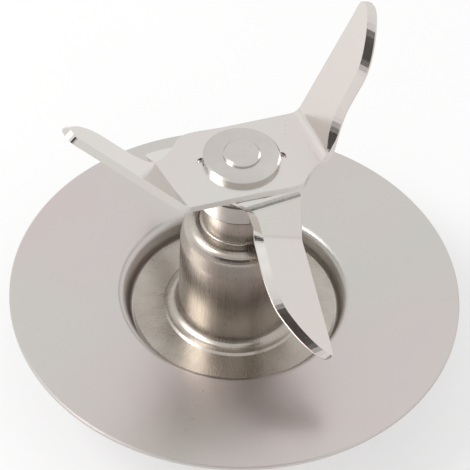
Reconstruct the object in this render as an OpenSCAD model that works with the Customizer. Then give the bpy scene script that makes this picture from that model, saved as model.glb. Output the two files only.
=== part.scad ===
// Blade assembly of a table blender: a round seat disc with a drawn bearing housing,
// and four cutting arms on a shaft that spins in it.
// Millimetres, +Z up the shaft, origin in the middle of the disc's upper face.

/* [Seat disc] */
// Outside diameter of the disc
disc_d = 70; // [60:0.5:85]
// Sheet thickness of the disc
disc_t = 0.8; // [0.6:0.1:1.4]
// Diameter where the rim of the recess begins to turn down
lip_d = 36.7; // [34:0.1:44]
// Depth of the recess below the disc's upper face
recess_depth = 3.5; // [2.5:0.1:5]
// Slope of the recess wall against the level
recess_angle = 75; // [55:1:85]
// Inside radius of the two bends of the recess
recess_bend_r = 0.6; // [0.4:0.1:1]
// Hole in the middle of the disc
disc_hole_d = 10; // [9:0.1:12]

/* [Bearing housing] */
// Sheet thickness of the drawn housing
housing_t = 0.8; // [0.6:0.1:1]
// Outside diameter of the housing's lower wall
wall_d = 17.5; // [16:0.1:19]
// Outside diameter of the narrow neck
neck_d = 11; // [10.4:0.1:12]
// Diameter of the flange that lies in the recess
flange_d = 31.5; // [28:0.1:31.8]
// Height where the lower wall ends and the shoulder begins
wall_top = 12.3; // [10:0.1:14]
// Height of the shoulder's top
shoulder_top = 16.6; // [15:0.1:18]
// Height of the neck's upper end
neck_top = 20.9; // [19:0.1:23]
// Radius of the foot between flange and wall
foot_r = 1.6; // [1:0.1:2.5]

/* [Shaft and drive] */
// Diameter of the shaft in its bushes
shaft_d = 6; // [5:0.1:7]
// Diameter of the shaft's upper end, which the blades sit on
tenon_d = 5; // [4.4:0.1:5.4]
// Width over the two flats of that upper end
tenon_flats = 4; // [3.6:0.1:4.6]
// Diameter of the riveted head
head_d = 5.6; // [5.4:0.1:6.6]
// Height of the riveted head above its washer
head_h = 0.5; // [0.4:0.1:1]
// Width over flats of the square drive socket
socket_w = 8.1; // [7.5:0.1:8.5]
// Depth of the square drive socket
socket_depth = 7; // [5:0.5:9]
// Outside diameter of the drive coupling
coupling_d = 14; // [13:0.5:16]
// Length of the drive coupling
coupling_l = 10; // [9:0.5:13]

/* [Blade stack] */
// Diameter of the collar under the blades
collar_d = 13.6; // [12:0.1:15]
// Height of the collar
collar_h = 4.2; // [3:0.1:5]
// Diameter of the spacer washer on the collar
spacer_d = 11.2; // [9:0.1:12]
// Thickness of the spacer washer
spacer_t = 1.4; // [1:0.1:2]
// Diameter of the washer on top of the blades
cap_d = 11.55; // [10:0.1:12]
// Thickness of that washer
cap_t = 1; // [0.8:0.1:1.4]
// Thickness of the two blades
blade_t = 1.2; // [1:0.1:1.5]

/* [Upper blade] */
// Direction in which the first upper arm points
upper_turn = 26.5; // [0:0.5:90]
// Distance of the upward bends from the shaft axis
upper_fold = 11.8; // [10:0.1:14]
// Upward bend of the first arm
upper_rise = 70.5; // [30:0.5:80]
// Upward bend of the second arm
upper_rise_b = 48.3; // [30:0.5:80]
// Slant of the second arm's bend line
upper_slant_b = 4.5; // [-8:0.5:8]
// Inner radius of the upward bends
upper_bend_r = 1.6; // [1:0.1:2.5]

/* [Lower blade] */
// Distance of the downward bends from the shaft axis
lower_fold = 7.6; // [7.2:0.1:9]
// Downward bend of the lower arms
lower_drop = 77.5; // [60:0.5:82]
// Outer radius of the downward bends
lower_bend_r = 2.6; // [2:0.1:3.2]
// Distance of the outward bends along the arm
flare_fold = 14.8; // [14:0.1:17]
// Bend outward again at the end of the drop
flare_rise = 44.9; // [30:0.5:60]
// Slant of the outward bend line
flare_slant = -22; // [-30:1:0]
// Inner radius of the outward bends
flare_bend_r = 2; // [1:0.1:3]

/* [Ground edges] */
// Width of the ground face along each cutting edge
bevel_w = 1; // [0.6:0.1:1.6]
// Thickness left at the cutting edge
edge_land = 0.25; // [0.15:0.05:0.5]
// Broken corner along all other blade edges
edge_break = 0.12; // [0.05:0.01:0.2]

/* [Hidden] */
$fn = 96;
// Clearance of the shaft in its bushes and seal, on the radius
run_gap = 0.05;
// Clearance of fixed pieces that are pressed or riveted together, on the radius
fit_gap = 0.02;
// Rows of points across each bend and along each wing
bend_rows = 8;
wing_rows = 26;
arc_steps = 8;

flange_top = housing_t - recess_depth;
wall_r = wall_d / 2;
neck_r = neck_d / 2;
shaft_r = shaft_d / 2;
bore_r = shaft_r + run_gap;
// The drawn bead on the flange round the foot
bead_h = 0.3;
bead_slope = 0.35;
// Shoulder: a slight cone, then an arc to the level top
cone_in = 0.35;
cone_top = wall_top + 0.56 * (shoulder_top - wall_top);
cone_angle = atan(cone_in / (cone_top - wall_top));
shoulder_r = (shoulder_top - cone_top) / (1 - sin(cone_angle));
shoulder_x = wall_r - cone_in - shoulder_r * cos(cone_angle);
neck_fillet = 0.5;

thrust_t = 0.5;
thrust_r = 5.2;
spigot_len = 1.2;
spigot_bottom = -recess_depth - disc_t - spigot_len;
coupling_top = spigot_bottom - thrust_t;
coupling_grip = coupling_l - socket_depth;

collar_bottom = neck_top + thrust_t;
collar_top = collar_bottom + collar_h;
lower_bottom = collar_top + spacer_t;
lower_top = lower_bottom + blade_t;
upper_top = lower_top + blade_t;
cap_top = upper_top + cap_t;

// Half-sheared buttons that key the two blades together
button_r = 0.95;
button_at = 5.85;
button_turn = 10;
button_h = 0.5;

// Flat blank of one arm, as pairs of distance from the axis and offset from the arm's middle:
// the straight trailing side and the curved ground side
trail_side = [[0, 7.27], [8, 6.38], [16, 5.49], [24, 4.6], [32, 3.71], [35, 3.38], [35.5, 2.95], [35.85, 2.1]];
upper_ground = [
  [0, -7.27], [6.35, -7.98], [8.46, -6.17], [10.8, -4.8], [12.9, -4.2], [15.1, -3.7], [17.4, -3.25],
  [20, -3.1], [23, -3.33], [26.2, -3.6], [28.6, -3.35], [30.9, -2.6], [33, -1.6], [34.6, -0.5],
  [35.4, 0.25], [35.85, 1]];
lower_ground = [
  [0, -7.27], [2.5, -7], [4.6, -6.1], [6.1, -5], [7.5, -3.75], [8.7, -2.9], [10.1, -2.2], [12.2, -1.6],
  [14.3, -1.3], [17.3, -1.85], [20.2, -2.45], [23.3, -2.7], [25.4, -2.6], [27.6, -2.05], [29.8, -1.3],
  [32.2, -0.2], [33.9, 0.85], [34.7, 1.6], [35, 2]];
lower_trail = [[0, 7.27], [7.8, 6.35], [12.7, 6.2], [17.3, 6], [21, 5.45], [25, 4.75], [29.2, 4], [33.7, 3.2], [34.6, 2.95], [35, 2.5]];

// Points of an arc in the half-plane of a turned section
function arc(c, r, a0, a1) =
  [for (i = [0:arc_steps]) c + r * [cos(a0 + (a1 - a0) * i / arc_steps), sin(a0 + (a1 - a0) * i / arc_steps)]];

// Smooth curve through a table of pairs
function slope(t, i) =
  let (a = max(0, i - 1), b = min(len(t) - 1, i + 1)) (t[b][1] - t[a][1]) / (t[b][0] - t[a][0]);
function curve(x, t, i = 0) =
  i < len(t) - 2 && x > t[i + 1][0] ? curve(x, t, i + 1)
  : let (h = t[i + 1][0] - t[i][0], u = min(1, max(0, (x - t[i][0]) / h)), v = 1 - u)
    v * v * (1 + 2 * u) * t[i][1] + u * u * (3 - 2 * u) * t[i + 1][1]
    + u * v * v * h * slope(t, i) - u * u * v * h * slope(t, i + 1);

// Where a slanted row through x on the middle line meets a side of the blank
function side(x, slant, t, y = 0, n = 5) =
  n == 0 ? [x - y * tan(slant), y] : side(x, slant, t, curve(x - y * tan(slant), t), n - 1);

// Half the length of flat blank that a bend takes up
function bend_half(r, angle) = r * tan(abs(angle) / 2);

// A point of the flat blank carried round a bend; up is positive, height 0 is the upper face
function bend(p, at, slant, angle, r) =
  let (s = sign(angle), h = bend_half(r, angle),
    u = (p[0] - at) * cos(slant) + p[1] * sin(slant),
    v = -(p[0] - at) * sin(slant) + p[1] * cos(slant),
    a = abs(angle) * min(1, max(0, (u + h) / (2 * h))),
    over = max(0, u - h),
    q = r - s * p[2],
    w = u < -h ? u : -h + q * sin(a) + over * cos(a),
    z = u < -h ? p[2] : s * (r - q * cos(a) + over * sin(a)))
  [at + w * cos(slant) - v * sin(slant), w * sin(slant) + v * cos(slant), z];

// Six points of the cross-section at one row: trailing side first, ground side last
function section(x, slant, trail, ground, grind) =
  let (a = side(x, slant, trail), b = side(x, slant, ground), d = (a - b) / norm(a - b),
    wide = edge_break + (bevel_w - edge_break) * grind,
    deep = edge_break + (blade_t - edge_land - edge_break) * grind,
    a1 = a - d * edge_break, b1 = b + d * min(wide, norm(a - b) - 2 * edge_break))
  [[a[0], a[1], -blade_t], [a[0], a[1], -edge_break], [a1[0], a1[1], 0],
   [b1[0], b1[1], 0], [b[0], b[1], -deep], [b[0], b[1], -blade_t]];

// Row positions along an arm, closer together in its bends
function spread(a, b, n) = [for (i = [1:n]) a + (b - a) * i / n];

// How far the ground face has come to its full width at x
function ground_in(x, from, to) = min(1, max(0, (x - from) / (to - from)));

upper_half = bend_half(upper_bend_r, upper_rise);
upper_end = 35.85;
upper_rows = concat(spread(0, upper_fold - upper_half, 8),
  spread(upper_fold - upper_half, upper_fold + upper_half, bend_rows),
  spread(upper_fold + upper_half, upper_end - 0.9, wing_rows), spread(upper_end - 0.9, upper_end, 4));
function upper_arm(rise, slant) = [for (x = upper_rows)
  [for (p = section(x, slant * lookup(x, [[0, 0], [upper_fold - 2, 1], [upper_fold + 2, 1], [26, 0]]),
    trail_side, upper_ground, ground_in(x, 12, 15)))
    bend(p, upper_fold, slant, rise, upper_bend_r)]];

drop_half = bend_half(lower_bend_r, lower_drop);
flare_half = bend_half(flare_bend_r, flare_rise);
lower_end = 35;
lower_rows = concat(spread(0, lower_fold - drop_half, 6),
  spread(lower_fold - drop_half, lower_fold + drop_half, bend_rows),
  spread(lower_fold + drop_half, flare_fold - flare_half, 4),
  spread(flare_fold - flare_half, flare_fold + flare_half, bend_rows),
  spread(flare_fold + flare_half, lower_end - 0.9, wing_rows), spread(lower_end - 0.9, lower_end, 4));
lower_arm = [for (x = lower_rows)
  [for (p = section(x, flare_slant * lookup(x, [[lower_fold + drop_half, 0], [flare_fold - flare_half, 1],
    [flare_fold + flare_half, 1], [30, 0]]), lower_trail, lower_ground, ground_in(x, 6, 10)))
    bend(bend(p, flare_fold, flare_slant, flare_rise, flare_bend_r), lower_fold, 0, -lower_drop, lower_bend_r)]];

// Solid through the rows of two opposite arms; the second one is turned by half a turn
function turned(rows) = [for (i = [len(rows) - 1:-1:0])
  [for (k = [0:5]) let (p = rows[i][5 - k]) [-p[0], -p[1], p[2]]]];
module blade_body(arm_a, arm_b) {
  mid = section(0, 0, trail_side, upper_ground, 0);
  rings = concat(turned(arm_b), [mid], arm_a);
  last = len(rings) - 1;
  polyhedron(
    points = [for (ring = rings) each ring],
    faces = concat(
      [[for (k = [0:5]) k]],
      [[for (k = [5:-1:0]) last * 6 + k]],
      [for (i = [0:last - 1]) for (k = [0:5])
        let (n = (k + 1) % 6) each [[i * 6 + k, (i + 1) * 6 + k, (i + 1) * 6 + n], [i * 6 + k, (i + 1) * 6 + n, i * 6 + n]]]));
}

module ring(r_out, r_in, z0, z1) {
  translate([0, 0, z0])
    difference() {
      cylinder(r = r_out, h = z1 - z0);
      translate([0, 0, -1]) cylinder(r = r_in, h = z1 - z0 + 2);
    }
}

// The shaft's flattened upper end, or the hole for it when grown by the fit
module tenon(z0, z1, grow = 0) {
  translate([0, 0, z0])
    intersection() {
      cylinder(r = tenon_d / 2 + grow, h = z1 - z0);
      translate([-tenon_d, -tenon_flats / 2 - grow, -1]) cube([2 * tenon_d, tenon_flats + 2 * grow, z1 - z0 + 2]);
    }
}

module base_disc() {
  b = recess_bend_r;
  w = recess_angle;
  sweep = 2 * b + disc_t;
  wall = (recess_depth - sweep * (1 - cos(w))) / sin(w);
  lip = [lip_d / 2, -b - disc_t];
  corner = [lip_d / 2 - sweep * sin(w) - wall * cos(w), b - recess_depth];
  rim = disc_d / 2;
  edge = disc_t / 4;
  color("silver") rotate_extrude()
    polygon(concat(
      [[disc_hole_d / 2, -recess_depth]],
      arc(corner, b, 270, 270 + w),
      arc(lip, b + disc_t, 90 + w, 90),
      [[rim - edge, 0], [rim, -edge], [rim, edge - disc_t], [rim - edge, -disc_t]],
      arc(lip, b, 90, 90 + w),
      arc(corner, b + disc_t, 270 + w, 270),
      [[disc_hole_d / 2, -recess_depth - disc_t]]));
}

module bearing_housing() {
  foot = [wall_r + foot_r, flange_top + bead_h + foot_r];
  top = [shoulder_x, shoulder_top - shoulder_r];
  throat = [neck_r + neck_fillet, shoulder_top + neck_fillet];
  color("silver") rotate_extrude()
    polygon(concat(
      [[flange_d / 2, -recess_depth], [flange_d / 2, flange_top], [foot[0] + 2 * bead_slope, flange_top],
       [foot[0] + bead_slope, flange_top + bead_h]],
      arc(foot, foot_r, 270, 180),
      [[wall_r, wall_top]],
      arc(top, shoulder_r, cone_angle, 90),
      arc(throat, neck_fillet, 270, 180),
      [[neck_r, neck_top], [neck_r - housing_t, neck_top]],
      arc(throat, neck_fillet + housing_t, 180, 270),
      arc(top, shoulder_r - housing_t, 90, cone_angle),
      [[wall_r - housing_t, wall_top], [wall_r - housing_t, -recess_depth]]));
}

module lower_bush() {
  color("tan") difference() {
    union() {
      ring(wall_r - housing_t - fit_gap, bore_r, -recess_depth, wall_top - 4);
      ring(disc_hole_d / 2 - fit_gap, bore_r, spigot_bottom, -recess_depth);
    }
    // Oil channel round the shaft
    ring(bore_r + 0.8, 1, 1, 4);
  }
}

module upper_bush() {
  color("tan") ring(neck_r - housing_t - fit_gap, bore_r, shoulder_top + neck_fillet, neck_top);
}

module shaft_seal() {
  r = wall_r - housing_t - fit_gap;
  z = wall_top - 4;
  color("dimgray") rotate_extrude()
    polygon([[r, z], [r, z + 3], [r - 1, z + 3.4], [bore_r + 2, z + 1.6], [bore_r + 0.3, z + 3.2],
      [bore_r, z + 2.8], [bore_r + 0.6, z + 1.2], [bore_r + 1.2, z]]);
}

module lower_thrust_washer() {
  color("white") ring(thrust_r, shaft_r + fit_gap, coupling_top, spigot_bottom);
}

module upper_thrust_washer() {
  color("white") ring(thrust_r, shaft_r + fit_gap, neck_top, collar_bottom);
}

module drive_shaft() {
  chamfer = head_h / 2;
  color("lightgray") union() {
    translate([0, 0, coupling_top - coupling_grip + 0.5])
      cylinder(r = shaft_r, h = collar_top - coupling_top + coupling_grip - 0.5);
    tenon(collar_top, cap_top);
    translate([0, 0, cap_top]) cylinder(r = head_d / 2, h = head_h - chamfer);
    translate([0, 0, cap_top + head_h - chamfer]) cylinder(r1 = head_d / 2, r2 = head_d / 2 - chamfer, h = chamfer);
  }
}

module drive_coupling() {
  rim = 0.6;
  color("gray") difference() {
    union() {
      translate([0, 0, coupling_top - coupling_l + rim]) cylinder(r = coupling_d / 2, h = coupling_l - rim);
      translate([0, 0, coupling_top - coupling_l])
        cylinder(r1 = coupling_d / 2 - rim, r2 = coupling_d / 2, h = rim);
    }
    translate([0, 0, coupling_top - coupling_grip]) cylinder(r = shaft_r + fit_gap, h = coupling_grip + 1);
    translate([-socket_w / 2, -socket_w / 2, coupling_top - coupling_l - 1]) cube([socket_w, socket_w, socket_depth + 1]);
  }
}

module blade_collar() {
  lead = 1.1;
  color("lightgray") difference() {
    union() {
      translate([0, 0, collar_bottom]) cylinder(r1 = collar_d / 2 - 0.8, r2 = collar_d / 2, h = lead);
      translate([0, 0, collar_bottom + lead]) cylinder(r = collar_d / 2, h = collar_h - lead);
    }
    translate([0, 0, collar_bottom - 1]) cylinder(r = shaft_r + fit_gap, h = collar_h + 2);
  }
}

module spacer_washer() {
  color("lightgray") difference() {
    translate([0, 0, collar_top]) cylinder(r = spacer_d / 2, h = spacer_t);
    tenon(collar_top - 1, lower_bottom + 1, fit_gap);
  }
}

module buttons(r, z0, z1) {
  for (side = [0, 180])
    rotate([0, 0, button_turn + side])
      translate([button_at, 0, z0]) cylinder(r = r, h = z1 - z0, $fn = 24);
}

module lower_blade() {
  color("silver") difference() {
    translate([0, 0, lower_top]) rotate([0, 0, upper_turn - 90]) blade_body(lower_arm, lower_arm);
    tenon(lower_bottom - 1, lower_top + 1, fit_gap);
    buttons(button_r + fit_gap, lower_bottom - 1, lower_top + 1);
  }
}

module upper_blade() {
  color("silver") difference() {
    union() {
      translate([0, 0, upper_top]) rotate([0, 0, upper_turn])
        blade_body(upper_arm(upper_rise, 0), upper_arm(upper_rise_b, upper_slant_b));
      buttons(button_r, lower_top - button_h, lower_top);
    }
    tenon(lower_top - 1, upper_top + 1, fit_gap);
    buttons(button_r - 0.1, upper_top - button_h, upper_top + 1);
  }
}

module cap_washer() {
  soft = 0.25;
  color("gainsboro") difference() {
    union() {
      translate([0, 0, upper_top]) cylinder(r = cap_d / 2, h = cap_t - soft);
      translate([0, 0, cap_top - soft]) cylinder(r1 = cap_d / 2, r2 = cap_d / 2 - soft, h = soft);
    }
    tenon(upper_top - 1, cap_top + 1, fit_gap);
  }
}

base_disc();
bearing_housing();
lower_bush();
upper_bush();
shaft_seal();
lower_thrust_washer();
upper_thrust_washer();
drive_shaft();
drive_coupling();
blade_collar();
spacer_washer();
lower_blade();
upper_blade();
cap_washer();
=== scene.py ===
import math

import bpy
from mathutils import Matrix, Vector


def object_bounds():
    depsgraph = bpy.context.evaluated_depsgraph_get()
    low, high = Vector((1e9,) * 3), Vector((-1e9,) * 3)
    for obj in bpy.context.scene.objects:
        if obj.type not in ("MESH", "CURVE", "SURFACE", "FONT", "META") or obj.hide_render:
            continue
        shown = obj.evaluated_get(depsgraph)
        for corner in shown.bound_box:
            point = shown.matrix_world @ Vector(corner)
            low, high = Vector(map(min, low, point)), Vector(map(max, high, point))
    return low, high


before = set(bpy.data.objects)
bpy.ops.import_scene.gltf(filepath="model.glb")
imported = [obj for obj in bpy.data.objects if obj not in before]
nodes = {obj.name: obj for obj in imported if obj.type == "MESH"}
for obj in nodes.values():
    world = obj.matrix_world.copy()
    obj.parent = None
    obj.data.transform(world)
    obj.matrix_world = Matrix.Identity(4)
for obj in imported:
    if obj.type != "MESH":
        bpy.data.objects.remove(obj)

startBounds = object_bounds()
up = Vector((0, 0, 1))

# ---------------------------------------------------------------- camera
cameraLook = {
    "pixels": 470,
    "focalPixels": 3000,
    "distance": 0.46664,
    "elevation": 48.227,
    "roll": 2.953,
    "originPixel": (234.8, 290.89),
}


def addCamera(look):
    """The camera that the ellipses of the photograph give, aimed so that the origin falls on its pixel."""
    e = math.radians(look["elevation"])
    place = Vector((0, -math.cos(e), math.sin(e))) * look["distance"]
    ahead = -place.normalized()
    right = Vector((1, 0, 0))
    down = ahead.cross(right)
    axes = Matrix((right, down, ahead))
    middle = look["pixels"] / 2
    dx = look["originPixel"][0] - middle
    dy = look["originPixel"][1] - middle
    yaw = math.atan2(dx, look["focalPixels"])
    pitch = math.atan2(dy, math.hypot(look["focalPixels"], dx))
    turn = (Matrix.Rotation(yaw, 3, "Y") @ Matrix.Rotation(-pitch, 3, "X")
            @ Matrix.Rotation(math.radians(look["roll"]), 3, "Z"))
    rows = turn @ axes
    columns = Matrix((rows[0], -rows[1], -rows[2])).transposed()
    data = bpy.data.cameras.new("photoCamera")
    data.sensor_width = 36
    data.lens = 36 * look["focalPixels"] / look["pixels"]
    data.clip_start = 0.01
    data.clip_end = 50
    camera = bpy.data.objects.new("photoCamera", data)
    camera.matrix_world = Matrix.Translation(place) @ columns.to_4x4()
    bpy.context.scene.collection.objects.link(camera)
    bpy.context.scene.camera = camera
    return camera


addCamera(cameraLook)
print("camera ready")


# ---------------------------------------------------------------- shader maths
class Wire:
    """Wraps a node socket so that materials can be written as sums."""

    def __init__(self, tree, socket):
        self.tree = tree
        self.socket = socket

    def math(self, kind, *others, clamp=False):
        node = self.tree.nodes.new("ShaderNodeMath")
        node.operation = kind
        node.use_clamp = clamp
        for place, value in enumerate((self,) + others):
            plug(self.tree, value, node.inputs[place])
        return Wire(self.tree, node.outputs[0])

    def __add__(self, other): return self.math("ADD", other)
    def __radd__(self, other): return self.math("ADD", other)
    def __sub__(self, other): return self.math("SUBTRACT", other)
    def __rsub__(self, other): return Wire.of(self.tree, other).math("SUBTRACT", self)
    def __mul__(self, other): return self.math("MULTIPLY", other)
    def __rmul__(self, other): return self.math("MULTIPLY", other)
    def __truediv__(self, other): return self.math("DIVIDE", other)
    def __rtruediv__(self, other): return Wire.of(self.tree, other).math("DIVIDE", self)
    def __pow__(self, other): return self.math("POWER", other)

    @staticmethod
    def of(tree, value):
        node = tree.nodes.new("ShaderNodeValue")
        node.outputs[0].default_value = value
        return Wire(tree, node.outputs[0])

    def ramp(self, low, high, outLow=0.0, outHigh=1.0):
        node = self.tree.nodes.new("ShaderNodeMapRange")
        node.interpolation_type = "SMOOTHSTEP"
        self.tree.links.new(self.socket, node.inputs[0])
        for place, value in zip((1, 2, 3, 4), (low, high, outLow, outHigh)):
            node.inputs[place].default_value = value
        return Wire(self.tree, node.outputs[0])


def plug(tree, value, socket):
    if isinstance(value, Wire):
        tree.links.new(value.socket, socket)
    else:
        socket.default_value = value


class Paint:
    """One material under construction."""

    def __init__(self, name):
        self.material = bpy.data.materials.new(name)
        self.material.use_nodes = True
        self.tree = self.material.node_tree
        self.tree.nodes.clear()
        self.output = self.tree.nodes.new("ShaderNodeOutputMaterial")
        self.place = self.add("ShaderNodeTexCoord", out="Object")

    def add(self, kind, inputs=None, out=0, **settings):
        node = self.tree.nodes.new(kind)
        for key, value in settings.items():
            setattr(node, key, value)
        for key, value in (inputs or {}).items():
            plug(self.tree, value, node.inputs[key])
        return Wire(self.tree, node.outputs[out])

    def noise(self, scale, detail=4.0, rough=0.55, at=None, distort=0.0):
        return self.add("ShaderNodeTexNoise", {"Vector": at or self.place, "Scale": scale, "Detail": detail,
                                               "Roughness": rough, "Distortion": distort}, out="Fac")

    def axis(self, index, at=None):
        return self.add("ShaderNodeSeparateXYZ", {0: at or self.place}, out=index)

    def vector(self, x, y, z):
        return self.add("ShaderNodeCombineXYZ", {0: x, 1: y, 2: z})

    def stretch(self, scale, turn=0.0):
        return self.add("ShaderNodeMapping", {"Vector": self.place, "Scale": scale, "Rotation": (0, 0, turn)})

    def mix(self, factor, a, b):
        node = self.tree.nodes.new("ShaderNodeMix")
        node.data_type = "RGBA"
        plug(self.tree, factor, node.inputs[0])
        for socket, value in ((node.inputs[6], a), (node.inputs[7], b)):
            plug(self.tree, value if isinstance(value, Wire) else (*value, 1), socket)
        return Wire(self.tree, node.outputs[2])

    def polar(self):
        """Distance from the shaft and the angle round it, in turns."""
        x, y = self.axis(0), self.axis(1)
        distance = (x * x + y * y) ** 0.5
        angle = y.math("ARCTAN2", x) / (2 * math.pi)
        return distance, angle

    def bump(self, height, distance, strength=1.0, normal=None):
        inputs = {"Height": height, "Distance": distance, "Strength": strength}
        if normal:
            inputs["Normal"] = normal
        return self.add("ShaderNodeBump", inputs)

    def metal(self, colour, roughness, normal=None, metallic=1.0, anisotropic=0.0):
        inputs = {"Base Color": colour, "Roughness": roughness, "Metallic": metallic, "Anisotropic": anisotropic}
        if normal:
            inputs["Normal"] = normal
        shader = self.add("ShaderNodeBsdfPrincipled", inputs)
        self.tree.links.new(shader.socket, self.output.inputs["Surface"])
        return self.material


def dress(nodeName, material):
    for place in nodes[nodeName].material_slots:
        place.material = material


def smoothSheet(nodeName, limit=30):
    nodes[nodeName].data.shade_smooth()


# ---------------------------------------------------------------- metals
sheetLook = {"colour": (0.60, 0.555, 0.535), "greenish": (0.575, 0.56, 0.53), "pinkish": (0.60, 0.54, 0.53), "roughness": 0.3}


def sheetSteel(name, look, grain=0.35):
    paint = Paint(name)
    clouds = paint.noise(60, 3, 0.6)
    warm = paint.noise(25, 2, 0.5)
    fine = paint.noise(900, 3, 0.7)
    colour = paint.mix(warm.ramp(0.35, 0.65), look["greenish"], look["pinkish"])
    colour = paint.mix(clouds.ramp(0.45, 0.75) * 0.5, colour, look["colour"])
    specks = paint.noise(1500, 2, 0.5).ramp(0.7, 0.78)
    colour = paint.mix(specks * grain, colour, tuple(c * 0.6 for c in look["colour"]))
    rough = look["roughness"] + 0.1 * (clouds - 0.5) + 0.08 * (fine - 0.5)
    normal = paint.bump(fine, 0.000012, 0.6)
    return paint.metal(colour, rough, normal)


def drawnSteel(name, look):
    """Deep drawn sheet, with streaks up the wall and rings on the flat."""
    paint = Paint(name)
    distance, angle = paint.polar()
    high = paint.axis(2)
    streaks = paint.noise(1, 4, 0.7, paint.vector(angle * 160, distance * 60, high * 35))
    rings = paint.noise(1, 3, 0.6, paint.vector(distance * 4000, angle * 3, high * 1200))
    clouds = paint.noise(90, 4, 0.6)
    colour = paint.mix(clouds.ramp(0.35, 0.7), look["dark"], look["light"])
    rough = look["roughness"] + 0.12 * (streaks - 0.5) + 0.08 * (clouds - 0.5)
    normal = paint.bump(streaks * 0.6 + rings * 0.4, 0.00002, 0.5)
    return paint.metal(colour, rough, normal)


discSteel = sheetSteel("discSteel", sheetLook)
bladeLook = {"colour": (0.68, 0.64, 0.60), "greenish": (0.66, 0.645, 0.61), "pinkish": (0.68, 0.625, 0.60), "roughness": 0.2}
bladeSteel = sheetSteel("bladeSteel", bladeLook)
housingLook = {"dark": (0.40, 0.36, 0.32), "light": (0.52, 0.48, 0.43), "roughness": 0.28}
housingSteel = drawnSteel("housingSteel", housingLook)
turnedLook = {"dark": (0.55, 0.52, 0.49), "light": (0.62, 0.59, 0.56), "roughness": 0.24}
turnedSteel = drawnSteel("turnedSteel", turnedLook)
couplingLook = {"dark": (0.28, 0.27, 0.26), "light": (0.36, 0.35, 0.34), "roughness": 0.45}
couplingSteel = drawnSteel("couplingSteel", couplingLook)
bronzeLook = {"dark": (0.42, 0.28, 0.14), "light": (0.55, 0.38, 0.2), "roughness": 0.4}
bronze = drawnSteel("bronze", bronzeLook)


def plainSkin(name, colour, darker, roughness):
    paint = Paint(name)
    clouds = paint.noise(300, 4, 0.6)
    fine = paint.noise(2500, 2, 0.6)
    shade = paint.mix(clouds, colour, darker)
    return paint.metal(shade, roughness + 0.1 * (fine - 0.5), paint.bump(fine, 0.00002, 0.5), metallic=0.0)


rubber = plainSkin("sealRubber", (0.03, 0.03, 0.03), (0.045, 0.044, 0.042), 0.6)
nylon = plainSkin("washerNylon", (0.78, 0.77, 0.72), (0.72, 0.71, 0.66), 0.45)

finishes = {
    "base_disc": discSteel, "bearing_housing": housingSteel, "lower_bush": bronze, "upper_bush": bronze,
    "shaft_seal": rubber, "lower_thrust_washer": nylon, "upper_thrust_washer": nylon, "drive_shaft": turnedSteel,
    "drive_coupling": couplingSteel, "blade_collar": turnedSteel, "spacer_washer": turnedSteel,
    "lower_blade": bladeSteel, "upper_blade": bladeSteel, "cap_washer": turnedSteel,
}
for nodeName, material in finishes.items():
    dress(nodeName, material)
print("metals ready")

# ---------------------------------------------------------------- floor and light
stageLook = {"floorSize": 3.0, "floorColour": (0.93, 0.93, 0.93), "whiteShare": 0.55, "flagColour": (0.05, 0.045, 0.04)}


def addPlane(name, width, depth, place, facing, material):
    data = bpy.data.meshes.new(name)
    data.from_pydata([(-width / 2, -depth / 2, 0), (width / 2, -depth / 2, 0), (width / 2, depth / 2, 0),
                      (-width / 2, depth / 2, 0)], [], [(0, 1, 2, 3)])
    data.materials.append(material)
    item = bpy.data.objects.new(name, data)
    bpy.context.scene.collection.objects.link(item)
    item.rotation_mode = "QUATERNION"
    item.rotation_quaternion = Vector(facing).to_track_quat("Z", "Y")
    item.location = place
    return item


def floorMaterial(look):
    paint = Paint("floorWhite")
    grain = paint.noise(40, 3, 0.5)
    tint = paint.mix(grain, look["floorColour"], tuple(c * 0.98 for c in look["floorColour"]))
    matt = paint.add("ShaderNodeBsdfDiffuse", {"Color": tint})
    glow = paint.add("ShaderNodeEmission", {"Color": (1, 1, 1, 1), "Strength": 1.0})
    seen = paint.add("ShaderNodeLightPath", out="Is Camera Ray")
    both = paint.add("ShaderNodeMixShader", {0: seen * look["whiteShare"], 1: matt, 2: glow})
    paint.tree.links.new(both.socket, paint.output.inputs["Surface"])
    return paint.material


lowest = startBounds[0].z
addPlane("studioFloor", stageLook["floorSize"], stageLook["floorSize"], (0, 0, lowest - 0.0001), (0, 0, 1), floorMaterial(stageLook))


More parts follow.
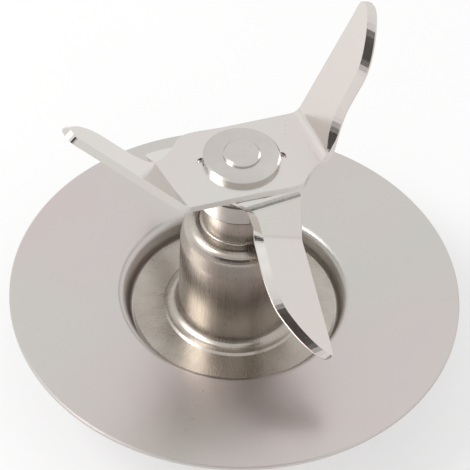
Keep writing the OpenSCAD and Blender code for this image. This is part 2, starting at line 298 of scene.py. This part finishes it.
def flagMaterial(look):
    paint = Paint("flagDark")
    cloth = paint.noise(200, 3, 0.5)
    shade = paint.mix(cloth, look["flagColour"], tuple(c * 1.2 for c in look["flagColour"]))
    matt = paint.add("ShaderNodeBsdfDiffuse", {"Color": shade})
    paint.tree.links.new(matt.socket, paint.output.inputs["Surface"])
    return paint.material


flag = addPlane("frontFlag", 1.2, 0.42, (0.05, -0.62, 0.20), (0, 1, 0), flagMaterial(stageLook))
flag.visible_camera = False
flag.visible_shadow = False
flag.visible_diffuse = False

world = bpy.data.worlds.new("studioWorld")
bpy.context.scene.world = world
world.use_nodes = True
tree = world.node_tree
tree.nodes.clear()
worldOut = tree.nodes.new("ShaderNodeOutputWorld")
seenLight = tree.nodes.new("ShaderNodeBackground")
seenLight.inputs["Color"].default_value = (1, 1, 1, 1)
seenLight.inputs["Strength"].default_value = 1.0
softLight = tree.nodes.new("ShaderNodeBackground")
softLight.inputs["Color"].default_value = (1, 0.99, 0.98, 1)
softLight.inputs["Strength"].default_value = 0.75
path = tree.nodes.new("ShaderNodeLightPath")
seen = (Wire(tree, path.outputs["Is Camera Ray"]) + Wire(tree, path.outputs["Is Glossy Ray"])).math(
    "ADD", Wire(tree, path.outputs["Is Transmission Ray"]), clamp=True)
blendLight = tree.nodes.new("ShaderNodeMixShader")
tree.links.new(seen.socket, blendLight.inputs[0])
tree.links.new(softLight.outputs[0], blendLight.inputs[1])
tree.links.new(seenLight.outputs[0], blendLight.inputs[2])
tree.links.new(blendLight.outputs[0], worldOut.inputs["Surface"])


def addSoftbox(name, place, target, size, power, colour=(1, 1, 1)):
    data = bpy.data.lights.new(name, "AREA")
    data.shape = "RECTANGLE"
    data.size, data.size_y = size
    data.energy = power
    data.color = colour
    lamp = bpy.data.objects.new(name, data)
    lamp.location = place
    lamp.rotation_mode = "QUATERNION"
    lamp.rotation_quaternion = (Vector(place) - Vector(target)).to_track_quat("Z", "Y")
    bpy.context.scene.collection.objects.link(lamp)
    return lamp


addSoftbox("keySoftbox", (-0.5, -0.1, 0.6), (0, 0, 0.01), (0.4, 0.4), 3.0)
bpy.context.scene.view_settings.view_transform = "Standard"
print("stage ready")
